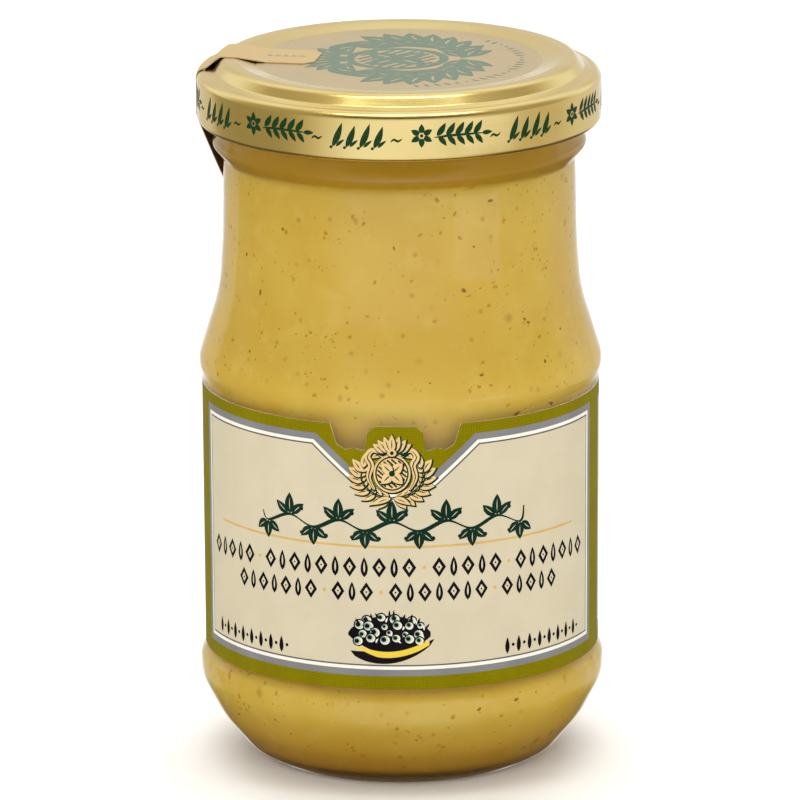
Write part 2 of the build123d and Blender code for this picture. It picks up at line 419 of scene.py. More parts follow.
label_yellow = paper_look("label_yellow", (0.66, 0.47, 0.035), (0.70, 0.51, 0.050))
label_pale = paper_look("label_pale_green", (0.400, 0.470, 0.330), (0.490, 0.560, 0.420))
label_teal = paper_look("label_teal", (0.045, 0.120, 0.100), (0.080, 0.170, 0.140))
label_back = paper_look("label_backing", (0.62, 0.58, 0.48), (0.68, 0.64, 0.54))

kraft = Look("strip_paper")
fibre = kraft.noise(0.7, 4.0, 0.65, kraft.where((1.0, 3.0, 3.0)))
kcol = kraft.mix(kraft.span(fibre, 0.3, 0.7), (0.415, 0.298, 0.136), (0.465, 0.342, 0.162))
kcol = kraft.mix(kraft.math("MULTIPLY", kraft.span(kraft.noise(0.16, 2.0), 0.62, 0.75), 0.35), kcol, (0.50, 0.33, 0.14))
kraft.set(Base_Color=kcol, Roughness=kraft.span(fibre, 0.3, 0.7, 0.55, 0.72), Normal=kraft.bump(fibre, 0.02, 0.6))
# the strip's inner face: brown paper darkened with painted shade, standing in for the lid's shadow on it
kraft_under = Look("strip_underside_painted_shade")
kraft_under.p.inputs["Specular IOR Level"].default_value = 0.03
ufib = kraft_under.noise(0.6, 4.0, 0.65)
kraft_under.set(Base_Color=kraft_under.mix(kraft_under.span(ufib, 0.3, 0.7), (0.075, 0.030, 0.005), (0.130, 0.058, 0.012)),
                Roughness=kraft_under.span(ufib, 0.3, 0.7, 0.60, 0.75), Normal=kraft_under.bump(ufib, 0.02, 0.5))
strip_ink = ink("strip_ink", (0.24, 0.20, 0.15), (0.33, 0.27, 0.20), 0.5)

# ---------------------------------------------------------------- camera
# 1.4 m from a point on the jar's axis, 14.6 degrees above the level, in front (-Y), a long lens.
AIM = Vector((0, 0, 54.492 * MM))
ELEV, DIST, LENS_PX, ROLL = math.radians(14.595), 1.400, 9203.34, math.atan(0.005149)
forward = Vector((0, math.cos(ELEV), -math.sin(ELEV)))
right0, up0 = Vector((1, 0, 0)), Vector((0, math.sin(ELEV), math.cos(ELEV)))
right = right0 * math.cos(ROLL) - up0 * math.sin(ROLL)
up = right0 * math.sin(ROLL) + up0 * math.cos(ROLL)
cam = bpy.data.cameras.new("camera")
cam.sensor_fit = "HORIZONTAL"
cam.sensor_width = 36.0
cam.lens = LENS_PX / 800 * 36.0
cam.shift_x = -0.717 / 800
cam.clip_start, cam.clip_end = 0.05, 60
camera = bpy.data.objects.new("camera", cam)
camera.matrix_world = Matrix((
    (right.x, up.x, -forward.x, AIM.x - forward.x * DIST),
    (right.y, up.y, -forward.y, AIM.y - forward.y * DIST),
    (right.z, up.z, -forward.z, AIM.z - forward.z * DIST),
    (0, 0, 0, 1)))
bpy.context.scene.collection.objects.link(camera)
bpy.context.scene.camera = camera

# ---------------------------------------------------------------- the glass
outer = [
    (20.55, 0.0, 1.6), (23.68, 1.61, 5.0), (27.81, 6.73, 12.0), (BULGE_R, 12.3, 6.0),
    (BULGE_R, 15.4, 2.2), (PANEL_R_LOW, PANEL_LOW, 0.8), (PANEL_R_TOP, PANEL_TOP, 0.8),
    (30.52, 60.9, 1.5), (30.52, 62.3, 3.0), (27.38, 72.4, 26.0), (26.80, 80.9, 60.0),
    (26.62, 93.0, 0.6), (28.38, 95.15, 1.0), (27.35, 98.15, 0.9),
    (27.35, 106.4, 0.6), (26.15, GLASS_TOP, 0.5)]
inner = [
    (25.15, GLASS_TOP, 0.5), (24.25, 106.7, 0.6), (24.25, 93.0, 20.0),
    (26.80 - WALL, 80.9, 60.0), (27.43 - WALL, 72.0, 24.0), (30.28 - WALL, 60.5, 7.0),
    (PANEL_R_TOP - WALL, 55.0, 20.0), (PANEL_R_LOW - WALL, 17.6, 12.0),
    (BULGE_R - WALL, 14.8, 3.0), (BULGE_R - WALL, 12.7, 5.0),
    (24.9, 6.3, 7.0), (22.2, 3.1, 3.4), (12.0, 3.2, 20.0)]
under = [(0.0, 1.1, 0.0), (15.2, 1.1, 1.5), (17.2, 0.0, 0.4)]
floor_mid = (0.0, 3.9, 0.0)

glass_path = filleted(under + outer + inner + [floor_mid])
jar = lathe("jar_glass", glass_path, glass.mat, segs=288, sharp=50)
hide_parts("glass_jar")
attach(jar, "root")

# ---------------------------------------------------------------- the mustard
REACH = 0.22                          # how far the paste reaches into the wall
inside = filleted([floor_mid] + inner[::-1], step=1.2)
inside = inside[inside[:, 1] < FILL_Z - 0.35]
grown = pushed(inside, REACH)
grown[0] = (0.0, grown[1][1])
rim_r = grown[-1][0]
top = [(rim_r, FILL_Z - 0.3), (rim_r - 0.35, FILL_Z), (rim_r * 0.6, FILL_Z - 0.15), (0.0, FILL_Z - 0.25)]
grown = np.vstack([grown, top])


def unevenness(R, Z, A):
    """The paste's face isn't quite even: shallow swells that stay inside the wall."""
    swell = (0.05 * np.sin(3 * A + Z * 0.21) + 0.04 * np.sin(5 * A - Z * 0.33 + 1.3)
             + 0.03 * np.sin(9 * A + Z * 0.9 + 0.4))
    body = ((Z > 8) & (Z < FILL_Z - 1)).astype(float)
    return R + swell * body, Z


mustard = lathe("mustard_fill", grown, paste.mat, segs=224, sharp=60, wobble=unevenness)
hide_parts("mustard")
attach(mustard, "root")

wall_z = grown[:-4][:, 1]
wall_r = grown[:-4][:, 0]
order = np.argsort(wall_z, kind="stable")
wall_z, wall_r = wall_z[order], wall_r[order]


def face_r(z, a):
    r = float(np.interp(z, wall_z, wall_r))
    if 8 < z < FILL_Z - 1:
        r += (0.05 * math.sin(3 * a + z * 0.21) + 0.04 * math.sin(5 * a - z * 0.33 + 1.3)
              + 0.03 * math.sin(9 * a + z * 0.9 + 0.4))
    return r


def specks(name, mat, count, sizes, seed):
    """Small cracked bits of pepper, each an uneven flattened lump set in the paste's face."""
    rnd = random.Random(seed)
    verts, faces = [], []
    t = (1 + 5 ** 0.5) / 2
    ico = [(-1, t, 0), (1, t, 0), (-1, -t, 0), (1, -t, 0), (0, -1, t), (0, 1, t), (0, -1, -t), (0, 1, -t),
           (t, 0, -1), (t, 0, 1), (-t, 0, -1), (-t, 0, 1)]
    tri = [(0, 11, 5), (0, 5, 1), (0, 1, 7), (0, 7, 10), (0, 10, 11), (1, 5, 9), (5, 11, 4), (11, 10, 2),
           (10, 7, 6), (7, 1, 8), (3, 9, 4), (3, 4, 2), (3, 2, 6), (3, 6, 8), (3, 8, 9), (4, 9, 5), (2, 4, 11),
           (6, 2, 10), (8, 6, 7), (9, 8, 1)]
    ico = np.array(ico) / math.sqrt(1 + t * t)
    z0_, a0_ = 30.0, 0.0
    for _ in range(count):
        if rnd.random() < 0.36:           # many lie in loose clusters
            z = min(max(z0_ + rnd.gauss(0, 0.8), 6.0), FILL_Z - 8.8)
            a = a0_ + rnd.gauss(0, 0.8) / 27
        else:
            z = rnd.uniform(6.0, FILL_Z - 8.8)
            a = rnd.uniform(0, TAU)
            z0_, a0_ = z, a
        s = sizes[0] + (sizes[1] - sizes[0]) * rnd.random() ** 2.6
        long = rnd.uniform(0.7, 1.6)
        spin = rnd.uniform(0, TAU)
        shape = ico * np.array([0.30, long, 1.0 / long ** 0.5]) * s * 0.5
        shape *= np.array([rnd.uniform(0.65, 1.2) for _ in range(12)])[:, None]
        cs, sn = math.cos(spin), math.sin(spin)
        y, w = shape[:, 1] * cs - shape[:, 2] * sn, shape[:, 1] * sn + shape[:, 2] * cs
        r = face_r(z, a) + shape[:, 0] - rnd.uniform(0.0, 0.10) * s
        ang = a + y / r
        base = len(verts)
        for k in range(12):
            verts.append((r[k] * math.cos(ang[k]), r[k] * math.sin(ang[k]), z + w[k]))
        faces += [(base + i, base + j, base + m) for i, j, m in tri]
    ob = new_object(name, np.array(verts) * MM, faces, None, [mat], sharp=60)
    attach(ob, "root")
    return ob


specks("pepper_bits_brown", brown_bits, 2400, (0.20, 0.86), 11)
specks("pepper_bits_dark", dark_bits, 420, (0.20, 0.95), 12)

# ---------------------------------------------------------------- the lid
TIN = 0.25
skin = [(0.0, LID_PANEL, 0.0), (21.7, LID_PANEL, 1.6), (24.7, LID_HI, 2.0), (26.7, LID_HI, 1.35),
        (27.9, 106.40, 0.55), (29.0, 106.10, 2.0), (LID_R, 106.10, 1.25), (LID_R, LID_LO, 0.85),
        (29.15, LID_LO, 0.45), (29.15, 99.95, 0.45), (LID_R - TIN, 99.95, 0.3)]
lining = [(LID_R - TIN, 106.10 - TIN, 1.0), (29.03, 106.10 - TIN, 2.0), (27.72, 106.22, 0.8),
          (26.55, LID_HI - TIN, 1.1), (24.73, LID_HI - TIN, 2.2), (21.75, LID_PANEL - TIN, 1.4),
          (0.0, LID_PANEL - TIN, 0.0)]
lid_path = filleted([(r, z, f) for r, z, f in skin][::-1][::-1] + lining, step=1.4, turn=5.0)
# run the section the other way round so that its right side is the outside
lid_path = lid_path[::-1]
lid = lathe("lid_shell", lid_path, gold.mat, segs=320, sharp=50)
lid.data.materials.append(pale.mat)
centre = np.empty(len(lid.data.polygons) * 3)
lid.data.polygons.foreach_get("center", centre)
centre = centre.reshape(-1, 3) / MM
flat = (np.hypot(centre[:, 0], centre[:, 1]) < 21.5) & (centre[:, 2] > LID_PANEL - 0.1)
lid.data.polygons.foreach_set("material_index", flat.astype(int))
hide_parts("lid")
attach(lid, "root")


# ---------------------------------------------------------------- print shapes, in flat millimetres
def leaf(x, y, length, width, turn, n=9, bend=0.0):
    """A pointed leaf from its stalk end at (x, y)."""
    c, s = math.cos(math.radians(turn)), math.sin(math.radians(turn))
    left, right_ = [], []
    for k in range(n + 1):
        t = k / n
        w = width / 2 * math.sin(math.pi * t ** 0.8) ** 0.9
        b = bend * math.sin(math.pi * t)
        left.append((t * length, b + w))
        right_.append((t * length, b - w))
    pts = left[:1] + left[1:-1] + left[-1:] + right_[1:-1][::-1]
    return [(x + px * c - py * s, y + px * s + py * c) for px, py in pts[::-1]]


def disc(x, y, r, n=14, squash=1.0, turn=0.0):
    c, s = math.cos(math.radians(turn)), math.sin(math.radians(turn))
    out = []
    for k in range(n):
        a = TAU * k / n
        px, py = r * math.cos(a), r * squash * math.sin(a)
        out.append((x + px * c - py * s, y + px * s + py * c))
    return out


def lozenge(x, y, w, h, lean=0.0):
    return [(x - w / 2, y), (x - w * 0.16 + lean * -0.32, y - h * 0.30), (x - lean * h / 2, y - h / 2),
            (x + w * 0.16 - lean * 0.32, y - h * 0.30), (x + w / 2, y), (x + w * 0.16 + lean * 0.32, y + h * 0.30),
            (x + lean * h / 2, y + h / 2), (x - w * 0.16 + lean * 0.32, y + h * 0.30)]


def spline(points, n=8):
    """A smooth line through the points."""
    P = [points[0]] + list(points) + [points[-1]]
    out = []
    for i in range(1, len(P) - 2):
        p0, p1, p2, p3 = (np.array(P[j], float) for j in (i - 1, i, i + 1, i + 2))
        for k in range(n):
            t = k / n
            out.append(0.5 * ((2 * p1) + (-p0 + p2) * t + (2 * p0 - 5 * p1 + 4 * p2 - p3) * t * t
                              + (-p0 + 3 * p1 - 3 * p2 + p3) * t ** 3))
    out.append(np.array(P[-2], float))
    return np.array(out)


def stroke(points, width, taper=True, n=8, swell=None):
    """Pieces of a pen stroke of varying width along a smooth line, one quad each."""
    line = spline(points, n)
    d = np.gradient(line, axis=0)
    d /= np.maximum(np.linalg.norm(d, axis=1, keepdims=True), 1e-9)
    side = np.stack([-d[:, 1], d[:, 0]], 1)
    m = len(line)
    t = np.linspace(0, 1, m)
    w = np.full(m, width / 2)
    if taper:
        w = width / 2 * np.clip(np.sin(math.pi * np.clip(t, 0.03, 0.97)) ** 0.6, 0.12, 1)
    if swell is not None:
        w = w * swell(t, d)
    a, b = line + side * w[:, None], line - side * w[:, None]
    return [[tuple(a[i]), tuple(b[i]), tuple(b[i + 1]), tuple(a[i + 1])] for i in range(m - 1)]


def offset(poly, t):
    """A counter-clockwise polygon grown by t (mitred)."""
    P = [np.array(p, float) for p in poly]
    out = []
    for i, p in enumerate(P):
        a, b = p - P[i - 1], P[(i + 1) % len(P)] - p
        a /= np.linalg.norm(a)
        b /= np.linalg.norm(b)
        na, nb = np.array([a[1], -a[0]]), np.array([b[1], -b[0]])
        m = na + nb
        m /= np.linalg.norm(m)
        out.append(tuple(p + m * (t / max(float(m @ na), 0.45))))
    return out


def divided(poly, step):
    out = []
    for i, p in enumerate(poly):
        q = poly[(i + 1) % len(poly)]
        n = max(1, int(math.ceil(math.dist(p, q) / step)))
        out += [(p[0] + (q[0] - p[0]) * k / n, p[1] + (q[1] - p[1]) * k / n) for k in range(n)]
    return out


class Sheet:
    """Flat regions laid over one another, cut into one triangle mesh with a material for each region."""

    def __init__(self):
        self.polys, self.mats = [], []

    def add(self, poly, mat, step=1.6):
        area2 = sum(poly[i - 1][0] * poly[i][1] - poly[i][0] * poly[i - 1][1] for i in range(len(poly)))
        self.polys.append(divided(poly if area2 > 0 else poly[::-1], step))
        self.mats.append(mat)

    def cut(self, grid=()):
        verts, faces = [], []
        for poly in self.polys:
            a = len(verts)
            verts += [Vector(p) for p in poly]
            faces.append(list(range(a, len(verts))))
        verts += [Vector(p) for p in grid]
        V, _, F, _, _, _ = delaunay_2d_cdt(verts, [], faces, 0, 1e-5, False)
        V = np.array([(v.x, v.y) for v in V])
        T = np.array([tuple(f) for f in F if len(f) == 3])
        a, b, c = V[T[:, 0]], V[T[:, 1]], V[T[:, 2]]
        area = (b[:, 0] - a[:, 0]) * (c[:, 1] - a[:, 1]) - (b[:, 1] - a[:, 1]) * (c[:, 0] - a[:, 0])
        T = np.where((area < 0)[:, None], T[:, [0, 2, 1]], T)
        mid = (a + b + c) / 3
        top_ = np.full(len(T), -1)
        for k, poly in enumerate(self.polys):
            P = np.array(poly)
            lo, hi = P.min(0), P.max(0)
            near = np.nonzero((mid > lo).all(1) & (mid < hi).all(1))[0]
            if not len(near):
                continue
            x, y = mid[near, 0][:, None], mid[near, 1][:, None]
            x0, y0 = P[:, 0][None, :], P[:, 1][None, :]
            x1, y1 = np.roll(P[:, 0], -1)[None, :], np.roll(P[:, 1], -1)[None, :]
            cross = (y0 > y) != (y1 > y)
            at = x0 + (y - y0) * (x1 - x0) / np.where(y1 == y0, 1e-12, y1 - y0)
            inside_ = (cross & (x < at)).sum(1) % 2 == 1
            top_[near[inside_]] = self.mats[k]
        keep = (top_ >= 0) & (np.abs(area) > 1e-9)
        used, where = np.unique(T[keep], return_inverse=True)
        return V[used], [tuple(int(i) for i in f) for f in where.reshape(-1, 3)], [int(m) for m in top_[keep]]


# ---------------------------------------------------------------- the label
MATS = [label_green, label_cream, label_grey, label_white, label_line, label_gold, label_tan, label_dark,
        label_black, label_yellow, label_pale, label_teal, label_back]
(GREEN, CREAM_, GREY, WHITE, LINE, GOLD, TAN, DARK, BLACK, YELLOW, PALE, TEAL, BACK) = range(13)
sheet = Sheet()
HALF = LABEL_R * math.pi - 3.2        # half of the label's length round the jar
notch = [(3.0, 58.20), (4.15, 57.10), (4.45, 54.60), (5.1, 54.45), (6.3, 54.85), (7.5, 54.45), (8.9, 55.2)]


def rounded(points, radii, n=4):
    P = [(x, y, r) for (x, y), r in zip(points, radii)]
    return [tuple(p) for p in filleted(P, step=50, turn=9)]


edge_line = rounded([(-14, LABEL_HI), (-9.95, LABEL_HI), (-8.9, 55.2), (-7.5, 54.45), (-6.3, 54.85), (-5.1, 54.45),
                     (-4.45, 54.60), (-4.15, 57.10), (-3.0, 58.20), (3.0, 58.20), (4.15, 57.10), (4.45, 54.60),
                     (5.1, 54.45), (6.3, 54.85), (7.5, 54.45), (8.9, 55.2), (9.95, LABEL_HI), (14, LABEL_HI)],
                    [0, 0.1, 0.25, 0.3, 0.4, 0.2, 0.15, 0.5, 0.8, 0.8, 0.5, 0.15, 0.2, 0.4, 0.3, 0.25, 0.1, 0])
outline = [(-HALF, LABEL_LO), (HALF, LABEL_LO), (HALF, LABEL_HI)] + edge_line[::-1] + [(-HALF, LABEL_HI)]
sheet.add(outline, GREEN, 1.5)

front = [(-36.9, 20.80), (36.9, 20.80), (36.9, 55.30), (12.7, 55.30), (3.9, 47.6), (-3.9, 47.6), (-12.7, 55.30),
         (-36.9, 55.30)]
for grow, m in ((1.32, GREY), (0.30, WHITE), (-0.22, LINE), (-0.46, CREAM_)):
    sheet.add(offset(front, grow), m, 1.5)
for side in (-1, 1):
    x0, x1 = sorted((side * 45.0, side * 87.0))
    panel = [(x0, 20.80), (x1, 20.80), (x1, 55.30), (x0, 55.30)]
    for grow, m in ((1.20, GREY), (0.26, WHITE), (-0.20, LINE), (-0.42, CREAM_)):
        sheet.add(offset(panel, grow), m, 1.5)
    # rows of small plain bars on the side panels
    rnd = random.Random(40 + side)
    for row in range(9):
        y = 51.0 - row * 2.6
        x = x0 + 3.0
        end = x1 - 3.0 - (rnd.random() * 12 if row in (3, 6, 8) else 0)
        while x < end:
            w = min(rnd.choice([2.2, 3.4, 4.6, 6.0]), end - x)
            if w > 0.8:
                sheet.add([(x, y - 0.42), (x + w, y - 0.42), (x + w, y + 0.42), (x, y + 0.42)], LINE, 2.0)
            x += w + 0.9
    for k in range(7):
        sheet.add(disc((x0 + x1) / 2 + (k - 3) * 3.2, 25.0, 0.55, 10), GOLD, 2.0)

# thin gold rule
sheet.add([(-32.4, 39.42), (31.6, 39.42), (31.6, 39.78), (-32.4, 39.78)], GOLD, 1.5)


def border_row(x0, x1, y_mid, sag, reach, runs, h, mat):
    """A border of diamonds and slim pods in runs, where a pack has its words."""
    total = sum(runs) + len(runs) - 1
    pitch = (x1 - x0) / total
    x = x0 + pitch / 2
    for i, run in enumerate(runs):
        for k in range(run):
            y = y_mid - sag * (x / reach) ** 2
            if k % 2:
                sheet.add(leaf(x, y - h / 2, h, h * 0.36, 90, n=7), mat, 9)
                sheet.add(leaf(x, y - h * 0.28, h * 0.56, h * 0.09, 90, n=4), CREAM_, 9)
            else:
                w = pitch * 0.47
                sheet.add([(x, y - h / 2), (x + w, y), (x, y + h / 2), (x - w, y)], mat, 9)
                sheet.add([(x, y - h * 0.25), (x + w * 0.46, y), (x, y + h * 0.25), (x - w * 0.46, y)], CREAM_, 9)
                sheet.add(disc(x, y, 0.15, 8), mat, 9)
            x += pitch
        if i < len(runs) - 1:
            sheet.add(disc(x, y_mid - sag * (x / reach) ** 2, 0.30, 10), GOLD, 9)
        x += pitch


border_row(-35.2, 34.7, 36.4, 1.0, 35.2, [5, 11, 5, 7], 3.15, BLACK)
border_row(-27.6, 27.5, 32.55, 0.65, 27.6, [7, 3, 7, 5], 3.05, BLACK)
for side in (-1, 1):
    for k in range(16):
        x = side * 25.4 + (k - 7.5) * 1.04
        if k % 2:
            sheet.add(disc(x, 22.95, 0.27, 8, 1.0), BLACK, 9)
        else:
            sheet.add(leaf(x, 21.65, 2.6, 0.80, 90, n=6), BLACK, 9)

# a running sprig in dark green across the middle, drawn with a broad pen
def pen(t, d):
    k = np.abs(d[:, 0] * 0.5 + d[:, 1] * 0.87)
    return (0.50 + 1.00 * k) * np.clip(np.sin(math.pi * np.clip(t, 0.02, 0.98)) ** 0.35, 0.2, 1)


y0 = 42.75
waves = [(-20.9 + 4.08 * k, y0 + (0.75 if k % 2 else -0.75)) for k in range(11)]
for q in stroke([(-22.0, y0 + 0.6)] + waves + [(20.6, y0 + 1.6)], 0.52, taper=False, n=8, swell=pen):
    sheet.add(q, DARK, 9)
for k, (x, y) in enumerate(waves):
    up_ = 1 if k % 2 else -1
    lead = -8 if k < 5 else 8
    size = 1.0 if up_ > 0 else 0.84
    for turn_, ln, wd, dx in ((90, 3.25 * size, 1.62, 0.0), (40, 2.75 * size, 1.34, 0.35), (140, 2.75 * size, 1.34, -0.35)):
        sheet.add(leaf(x + dx, y + 0.1 * up_, ln, wd, up_ * turn_, bend=0.08 * up_), DARK, 9)
        r = math.radians(up_ * turn_)
        sheet.add(leaf(x + dx + 0.5 * math.cos(r), y + 0.1 * up_ + 0.5 * math.sin(r), ln * 0.62, 0.13, up_ * turn_, n=3,
                       bend=0.05 * up_), CREAM_, 9)
    if 0 < k < 10:
        sheet.add(disc(x + 2.04, y - up_ * 1.15 + up_ * 2.3, 0.36, 9), DARK, 9)
        sheet.add(disc(x + 2.04, y - up_ * 0.35 - up_ * 2.2, 0.30, 9), DARK, 9)


def emblem(put, cx, cy, s, turn=0.0):
    """A mustard flower on a hatched round, between two leafy branches, with a fan of leaves above.

    s is half its width.  put(poly, kind) gets each region from the bottom up."""
    c, sn = math.cos(math.radians(turn)), math.sin(math.radians(turn))

    def place(poly):
        return [(cx + (x * c - y * sn) * s, cy + (x * sn + y * c) * s) for x, y in poly]

    def mirror(poly, side):
        return poly if side > 0 else [(-x, y) for x, y in poly][::-1]

    def blade(x, y, length, width, d, side=1, bend=0.0):
        put(place(mirror(leaf(x, y, length, width, d, n=8, bend=bend), side)), "leaf")
        k = math.radians(d)
        put(place(mirror(leaf(x + 0.16 * length * math.cos(k), y + 0.16 * length * math.sin(k), length * 0.62,
                              width * 0.15, d, n=3, bend=bend * 0.8), side)), "vein")

    for side in (-1, 1):
        for k in range(8):
            a = math.radians(-84 + k * 13.5)
            x, y = 0.70 * math.cos(a), 0.50 * math.sin(a) - 0.10
            d = math.degrees(math.atan2(0.50 * math.cos(a), -0.70 * math.sin(a)))
            blade(x, y, 0.36, 0.185, d - 52, side, 0.015)
            blade(x, y, 0.27, 0.140, d + 34, side, -0.012)
        blade(0.70 * math.cos(math.radians(22)), 0.50 * math.sin(math.radians(22)) - 0.10, 0.34, 0.15, 96, side)
        line = [(0.70 * math.cos(math.radians(a)), 0.50 * math.sin(math.radians(a)) - 0.10) for a in range(-88, 24, 14)]
        for q in stroke(line, 0.034, taper=False, n=2):
            put(place(mirror(q, side)), "line")
        blade(0.03, -0.62, 0.42, 0.14, -22, side, 0.03)
        # a curled leaf on each shoulder of the middle
        blade(0.20, 0.38, 0.30, 0.14, -14, side, 0.05)
        blade(0.16, 0.34, 0.26, 0.12, 28, side, 0.03)
    for side in (-1, 1):
        # a curling ribbon down each side of the middle
        scroll = [(0.20, 0.42), (0.44, 0.50), (0.56, 0.34), (0.47, 0.14), (0.53, -0.14), (0.40, -0.42)]
        wide = spline(scroll, 5)
        tang = np.gradient(wide, axis=0)
        tang /= np.linalg.norm(tang, axis=1, keepdims=True)
        nor = np.stack([-tang[:, 1], tang[:, 0]], 1) * (0.070 * np.sin(np.linspace(0.35, math.pi - 0.3, len(wide)))[:, None])
        put(place(mirror([tuple(v) for v in np.vstack([wide - nor, (wide + nor)[::-1]])], side)), "leaf")
        for q in stroke(scroll[1:], 0.030, n=3):
            put(place(mirror(q, side)), "line")
    put(place(disc(0, -0.04, 0.420, 30, 1.06)), "leaf")
    put(place(disc(0, -0.04, 0.380, 30, 1.06)), "line")
    put(place(disc(0, -0.04, 0.345, 30, 1.06)), "ground")
    for k in range(-4, 5):
        off = k * 0.080
        half = math.sqrt(max(0.0, 0.335 ** 2 - off ** 2))
        q = [(-half, off - 0.021), (half, off - 0.021), (half, off + 0.021), (-half, off + 0.021)]
        t = math.radians(-42)
        put(place([(x * math.cos(t) - y * math.sin(t), x * math.sin(t) + y * math.cos(t) - 0.04) for x, y in q]), "line")
    for k in range(4):
        blade(0, -0.04, 0.34, 0.23, 45 + 90 * k)
    put(place(disc(0, -0.04, 0.070, 12)), "line")
    for k in (-3, 3, -2, 2, -1, 1, 0):
        blade(k * 0.045, 0.45, 0.42 - 0.020 * abs(k), 0.165, 90 - k * 19)
    put(place(disc(0, 0.44, 0.105, 14, 0.8)), "leaf")
    put(place(disc(0, 0.44, 0.045, 10)), "line")


def on_paper(p, kind):
    if kind in ("leaf", "ground"):
        if kind == "leaf":
            sheet.add([(x + 0.13, y - 0.14) for x, y in offset(p, 0.13)], DARK, 9)
        sheet.add(p, TAN, 9)
    else:
        sheet.add(p, DARK, 9)


emblem(on_paper, -0.5, 51.25, 6.6)

# a heap of round peppercorns in a shallow dark dish
bx, by = -1.0, 26.5


def dome(x, tall=3.15):
    return tall * max(0.0, math.sin(math.pi * (x + 6.4) / 12.8)) ** 0.60 - 0.7


def bowed(x0, x1, y0_, y1_, sag, power, n=18):
    """A hanging curve between two ends, sag below the straight line at its middle."""
    return [(bx + x0 + (x1 - x0) * k / n, by + y0_ + (y1_ - y0_) * k / n - sag * math.sin(math.pi * k / n) ** power)
            for k in range(n + 1)]


heap = [(bx + x, by + dome(x)) for x in np.linspace(-6.3, 6.2, 27)]
sheet.add(bowed(-6.3, 6.2, -0.8, -0.9, 2.7, 0.9) + heap[::-1], BLACK, 3)
sheet.add(bowed(-6.0, 6.8, -3.2, -1.3, 2.75, 0.62) + bowed(-6.0, 6.8, -3.2, -1.3, 0.7, 1.0)[1:-1][::-1], BLACK, 3)
rnd = random.Random(21)
for n_, dy, width in ((4, 1.95, 8.6), (6, 0.95, 11.6), (5, -0.15, 10.6), (6, -1.20, 11.0)):
    for k in range(n_):
        x = (k - (n_ - 1) / 2) * width / n_ + rnd.uniform(-0.28, 0.28)
        y = min(dy + rnd.uniform(-0.30, 0.30) - 0.010 * x * x, dome(x) - 0.15)
        r = rnd.choice([0.46, 0.60, 0.68, 0.72])
        turn_ = rnd.uniform(120, 200)
        ox, oy = math.cos(math.radians(turn_)), math.sin(math.radians(turn_))
        sheet.add(disc(bx + x, by + y, r + 0.20, 14), BLACK, 9)
        sheet.add(disc(bx + x, by + y, r, 14, 0.95), WHITE, 9)
        sheet.add(disc(bx + x + 0.14 * r * ox, by + y + 0.14 * r * oy, r * 0.84, 14), PALE, 9)
        sheet.add(disc(bx + x + 0.36 * r * ox, by + y + 0.36 * r * oy, r * 0.60, 12), TEAL, 9)
        sheet.add(disc(bx + x + 0.26 * r * ox, by + y + 0.26 * r * oy, r * 0.52, 12, 0.8, turn_), BLACK, 9)
        if (k + n_) % 2:
            sheet.add(leaf(bx + x + r + 0.10, by + y - 0.75, 0.85, 0.26, rnd.uniform(50, 130), n=5, bend=0.06), WHITE, 9)
# spikes of stalk along the top of the heap
for k in range(10):
    x = -5.2 + 10.9 * (k + rnd.uniform(0.2, 0.8)) / 10
    sheet.add(leaf(bx + x, by + dome(x) - 0.35, rnd.uniform(0.9, 1.35), 0.34, 92 - x * 8 + rnd.uniform(-16, 16), n=5), BLACK, 9)
# the lit inside of the dish's rim
rim_top = bowed(-5.3, 6.0, -2.3, -1.5, 1.28, 1.0)
rim_low = [(x, y - 0.95 * min(1.0, (k + 0.4) / 6) ** 0.7 * min(1.0, (21.5 - k) / 6) ** 0.5) for k, (x, y) in enumerate(rim_top)]
sheet.add(rim_low + rim_top[::-1], YELLOW, 3)

grid = [(-HALF + 1.5 * i, LABEL_LO + 1.0 + 2.4 * j) for i in range(1, int(2 * HALF / 1.5)) for j in range(17)
        if LABEL_LO + 1.0 + 2.4 * j < 53.5]
V2, F2, I2 = sheet.cut(grid)


def on_label(x, y, out_):
    a = math.radians(LABEL_TURN) + x / LABEL_R
    r = PANEL_R_LOW + (PANEL_R_TOP - PANEL_R_LOW) * (y - PANEL_LOW) / (PANEL_TOP - PANEL_LOW) + out_
    return r * math.sin(a), -r * math.cos(a), y


n2 = len(V2)
face_v = [on_label(x, y, PAPER) for x, y in V2]
back_v = [on_label(x, y, 0.005) for x, y in V2]
edges = {}
for f in F2:
    for a, b in ((f[0], f[1]), (f[1], f[2]), (f[2], f[0])):
        edges[(a, b)] = edges.get((a, b), 0) + 1
rim = [(a, b) for a, b in edges if (b, a) not in edges]
verts = face_v + back_v
faces = list(F2) + [(n2 + f[0], n2 + f[2], n2 + f[1]) for f in F2]
index = list(I2) + [BACK] * len(F2)
base = len(verts)
names = {}
for a, b in rim:
    for k in (a, b):
        if k not in names:
            names[k] = len(verts)
            verts += [face_v[k], back_v[k]]
    faces.append((names[a], names[a] + 1, names[b] + 1, names[b]))
    index.append(WHITE)
flat_xy = {}
uvs = []
for f in faces:
    for k in f:
        if k < n2:
            uvs.append(tuple(V2[k]))
        elif k < 2 * n2:
            uvs.append(tuple(V2[k - n2]))
        else:
            uvs.append((0.0, 0.0))
label = new_object("label_paper", np.array(verts) * MM, faces, uvs, MATS, index, sharp=None)
normals = []
for k in range(len(verts)):
    x, y, _ = verts[k]
    r = math.hypot(x, y)
    sgn = 1 if k < n2 else -1
    normals.append((sgn * x / r, sgn * y / r, 0.0) if k < 2 * n2 else (0.0, 0.0, 0.0))
label.data.normals_split_custom_set_from_vertices(normals)
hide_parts("label")
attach(label, "root")


